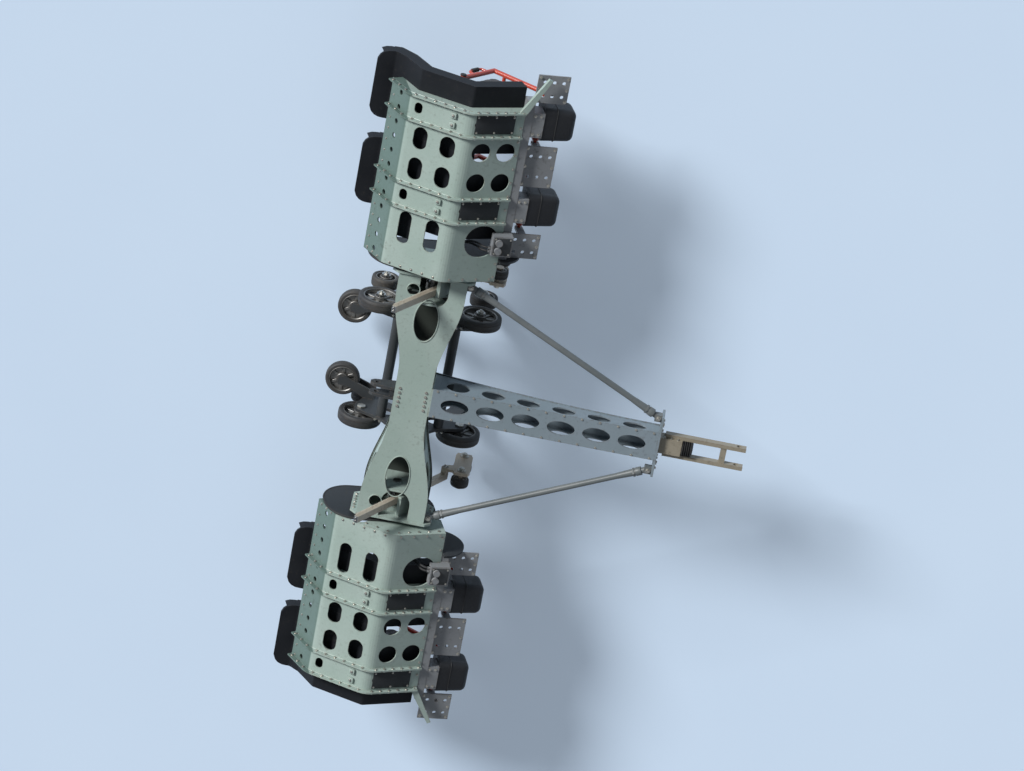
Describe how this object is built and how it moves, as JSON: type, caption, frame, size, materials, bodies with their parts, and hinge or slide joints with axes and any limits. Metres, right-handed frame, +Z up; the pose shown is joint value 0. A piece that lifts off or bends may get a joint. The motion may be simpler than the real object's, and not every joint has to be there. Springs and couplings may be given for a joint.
{
  "type": "wing-seat roller coaster car with turning seat pods",
  "caption": "Wing-seat roller coaster car: cross beam with turning seat pods at its ends, tongue with tie rods, rail wheels and rack-and-pinion seat drives.",
  "frame": {"origin": "on the floor under the middle of the whole car, tongue and coupling included", "axes": "+X along the tongue towards the next car, +Y across the car to its left, +Z up; the pods are at rest with the seat backs up, as in the picture"},
  "size_m": [3.6442, 6.1, 1.6503],
  "materials": {
    "frame_paint": "satin",
    "rod_steel": "satin",
    "dark_paint": "satin",
    "axle_steel": "satin",
    "wheel_tread": "matte",
    "rack_steel": "satin",
    "coupler_steel": "satin",
    "guard_panel": "satin",
    "seat_shell": "satin",
    "seat_vinyl": "matte",
    "head_paint": "satin",
    "headrest_black": "matte",
    "harness_red": "gloss",
    "harness_vinyl": "matte"
  },
  "bodies": {
    "car_frame": {"wing_top_plate": "frame_paint", "wing_bottom_plate": "frame_paint", "wing_webs": "frame_paint", "hub_plates": "frame_paint", "tongue_girder": "frame_paint", "tongue_end_plate": "frame_paint", "coupler": "coupler_steel", "hitch": "dark_paint", "tie_rods": "rod_steel", "wheel_carriers": "dark_paint", "cross_tubes": "dark_paint", "wheel_axles": "axle_steel"},
    "pod_left": {"pod_shaft_left": "axle_steel", "pod_shell_left": "frame_paint", "guard_panel_left": "guard_panel", "seats_left": "seat_shell", "seat_pads_left": "seat_vinyl", "head_frame_left": "head_paint", "headrests_left": "headrest_black"},
    "rack_left": {"rack_left": "rack_steel"},
    "harness_left_inner": {"harness_left_inner": "harness_red", "harness_pads_left_inner": "harness_vinyl"},
    "harness_left_outer": {"harness_left_outer": "harness_red", "harness_pads_left_outer": "harness_vinyl"},
    "road_wheel_left_front": {"road_wheel_left_front": "wheel_tread"},
    "upstop_wheel_left_front": {"upstop_wheel_left_front": "wheel_tread"},
    "road_wheel_left_rear": {"road_wheel_left_rear": "wheel_tread"},
    "upstop_wheel_left_rear": {"upstop_wheel_left_rear": "wheel_tread"},
    "side_wheel_left": {"side_wheel_left": "wheel_tread"},
    "follower_wheel_left_top": {"follower_wheel_left_top": "wheel_tread"},
    "follower_wheel_left_low": {"follower_wheel_left_low": "wheel_tread"},
    "pod_right": {"pod_shaft_right": "axle_steel", "pod_shell_right": "frame_paint", "guard_panel_right": "guard_panel", "seats_right": "seat_shell", "seat_pads_right": "seat_vinyl", "head_frame_right": "head_paint", "headrests_right": "headrest_black"},
    "rack_right": {"rack_right": "rack_steel"},
    "harness_right_inner": {"harness_right_inner": "harness_red", "harness_pads_right_inner": "harness_vinyl"},
    "harness_right_outer": {"harness_right_outer": "harness_red", "harness_pads_right_outer": "harness_vinyl"},
    "road_wheel_right_front": {"road_wheel_right_front": "wheel_tread"},
    "upstop_wheel_right_front": {"upstop_wheel_right_front": "wheel_tread"},
    "road_wheel_right_rear": {"road_wheel_right_rear": "wheel_tread"},
    "upstop_wheel_right_rear": {"upstop_wheel_right_rear": "wheel_tread"},
    "side_wheel_right": {"side_wheel_right": "wheel_tread"},
    "follower_wheel_right_top": {"follower_wheel_right_top": "wheel_tread"},
    "follower_wheel_right_low": {"follower_wheel_right_low": "wheel_tread"}
  },
  "joints": [
    {"name": "pod_turn_left", "type": "hinge", "parent": "car_frame", "child": "pod_left", "pos_m": [-1.02788, 1.5, 1], "axis": [0, 1, 0], "range_deg": [-270, 90]},
    {"name": "rack_slide_left", "type": "slide", "parent": "car_frame", "child": "rack_left", "axis": [-0.5, 0, 0.866], "range_m": [-0.0945, 0.283]},
    {"name": "harness_swing_left_inner", "type": "hinge", "parent": "pod_left", "child": "harness_left_inner", "pos_m": [-0.41812, 1.845, 0.87717], "axis": [0, 1, 0], "range_deg": [-95, 0]},
    {"name": "harness_swing_left_outer", "type": "hinge", "parent": "pod_left", "child": "harness_left_outer", "pos_m": [-0.41812, 2.62, 0.87717], "axis": [0, 1, 0], "range_deg": [-95, 0]},
    {"name": "road_wheel_spin_left_front", "type": "hinge", "parent": "car_frame", "child": "road_wheel_left_front", "pos_m": [-0.59788, 0.55, 0.542], "axis": [0, 1, 0], "continuous": true},
    {"name": "upstop_wheel_spin_left_front", "type": "hinge", "parent": "car_frame", "child": "upstop_wheel_left_front", "pos_m": [-0.59788, 0.55, 0.121], "axis": [0, 1, 0], "continuous": true},
    {"name": "road_wheel_spin_left_rear", "type": "hinge", "parent": "car_frame", "child": "road_wheel_left_rear", "pos_m": [-1.45788, 0.55, 0.542], "axis": [0, 1, 0], "continuous": true},
    {"name": "upstop_wheel_spin_left_rear", "type": "hinge", "parent": "car_frame", "child": "upstop_wheel_left_rear", "pos_m": [-1.45788, 0.55, 0.121], "axis": [0, 1, 0], "continuous": true},
    {"name": "side_wheel_spin_left", "type": "hinge", "parent": "car_frame", "child": "side_wheel_left", "pos_m": [-1.66788, 0.345, 0.297], "axis": [0, 0, 1], "continuous": true},
    {"name": "follower_spin_left_top", "type": "hinge", "parent": "rack_left", "child": "follower_wheel_left_top", "pos_m": [-0.50788, 1, 0.525], "axis": [0, 1, 0], "continuous": true},
    {"name": "follower_spin_left_low", "type": "hinge", "parent": "rack_left", "child": "follower_wheel_left_low", "pos_m": [-0.50788, 1, 0.235], "axis": [0, 1, 0], "continuous": true},
    {"name": "pod_turn_right", "type": "hinge", "parent": "car_frame", "child": "pod_right", "pos_m": [-1.02788, -1.5, 1], "axis": [0, 1, 0], "range_deg": [-270, 90]},
    {"name": "rack_slide_right", "type": "slide", "parent": "car_frame", "child": "rack_right", "axis": [-0.5, 0, 0.866], "range_m": [-0.0945, 0.283]},
    {"name": "harness_swing_right_inner", "type": "hinge", "parent": "pod_right", "child": "harness_right_inner", "pos_m": [-0.41812, -1.845, 0.87717], "axis": [0, 1, 0], "range_deg": [-95, 0]},
    {"name": "harness_swing_right_outer", "type": "hinge", "parent": "pod_right", "child": "harness_right_outer", "pos_m": [-0.41812, -2.62, 0.87717], "axis": [0, 1, 0], "range_deg": [-95, 0]},
    {"name": "road_wheel_spin_right_front", "type": "hinge", "parent": "car_frame", "child": "road_wheel_right_front", "pos_m": [-0.59788, -0.55, 0.542], "axis": [0, 1, 0], "continuous": true},
    {"name": "upstop_wheel_spin_right_front", "type": "hinge", "parent": "car_frame", "child": "upstop_wheel_right_front", "pos_m": [-0.59788, -0.55, 0.121], "axis": [0, 1, 0], "continuous": true},
    {"name": "road_wheel_spin_right_rear", "type": "hinge", "parent": "car_frame", "child": "road_wheel_right_rear", "pos_m": [-1.45788, -0.55, 0.542], "axis": [0, 1, 0], "continuous": true},
    {"name": "upstop_wheel_spin_right_rear", "type": "hinge", "parent": "car_frame", "child": "upstop_wheel_right_rear", "pos_m": [-1.45788, -0.55, 0.121], "axis": [0, 1, 0], "continuous": true},
    {"name": "side_wheel_spin_right", "type": "hinge", "parent": "car_frame", "child": "side_wheel_right", "pos_m": [-1.66788, -0.345, 0.297], "axis": [0, 0, 1], "continuous": true},
    {"name": "follower_spin_right_top", "type": "hinge", "parent": "rack_right", "child": "follower_wheel_right_top", "pos_m": [-0.50788, -1, 0.525], "axis": [0, 1, 0], "continuous": true},
    {"name": "follower_spin_right_low", "type": "hinge", "parent": "rack_right", "child": "follower_wheel_right_low", "pos_m": [-0.50788, -1, 0.235], "axis": [0, 1, 0], "continuous": true}
  ],
  "couplings": [
    {"joint": "rack_slide_left", "follows": "pod_turn_left", "m_per_rad": -0.06},
    {"joint": "rack_slide_right", "follows": "pod_turn_right", "m_per_rad": -0.06}
  ]
}
